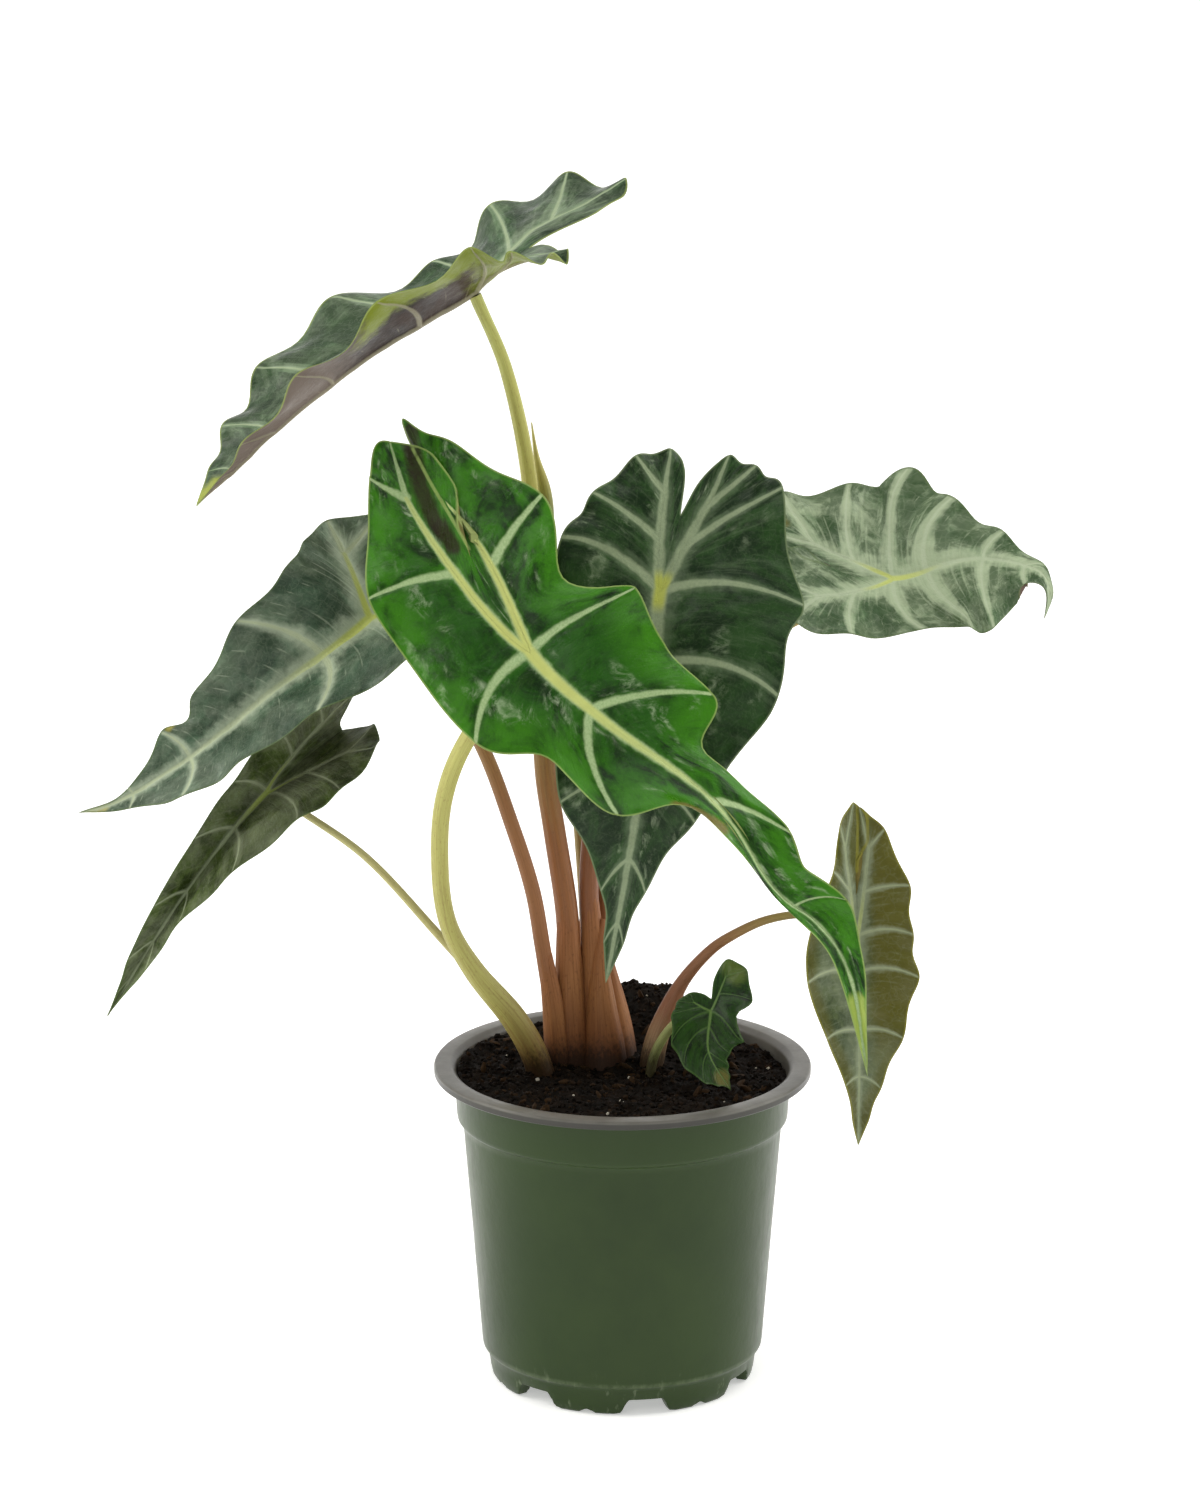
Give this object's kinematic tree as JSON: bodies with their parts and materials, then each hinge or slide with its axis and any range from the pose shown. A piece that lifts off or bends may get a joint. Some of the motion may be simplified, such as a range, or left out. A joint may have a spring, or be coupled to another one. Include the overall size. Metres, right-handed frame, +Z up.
{
  "type": "potted houseplant",
  "caption": "Elephant-ear houseplant with arrow-shaped, pale-veined leaves on arching stalks, in a tapered green nursery pot filled with potting mix.",
  "frame": {"origin": "middle of the whole plant's footprint, on the ground that the pot stands on", "axes": "+Z up along the pot and stalks, -Y towards the viewer of the picture, +X to that viewer's right"},
  "size_m": [0.3983, 0.1932, 0.4971],
  "materials": {
    "pot": "thin moulded, slightly scuffed",
    "soil": "loose peat and bark mix",
    "crown": "dry papery sheaths over firm stalk bases",
    "bright_blade": "glossy fresh green leaf",
    "dark_blade": "satin dark green leaf",
    "grey_blade": "satin grey-green leaf",
    "olive_blade": "satin olive leaf",
    "rolled_blade": "satin pale rolled leaf",
    "green_stalk": "smooth yellow-green stalk",
    "brown_stalk": "smooth brown stalk"
  },
  "bodies": {
    "root": {"pot": "pot", "soil": "soil", "crown": "crown", "top_blade": "dark_blade", "top_petiole": "green_stalk", "front_blade": "bright_blade", "front_petiole": "green_stalk", "centre_blade": "dark_blade", "centre_petiole": "brown_stalk", "right_blade": "grey_blade", "right_petiole": "brown_stalk", "left_blade": "dark_blade", "left_petiole": "brown_stalk", "lower_left_blade": "olive_blade", "lower_left_petiole": "green_stalk", "lower_right_blade": "olive_blade", "lower_right_petiole": "brown_stalk", "small_blade": "bright_blade", "small_petiole": "green_stalk", "rolled_blade": "rolled_blade", "rolled_petiole": "green_stalk"}
  },
  "joints": []
}
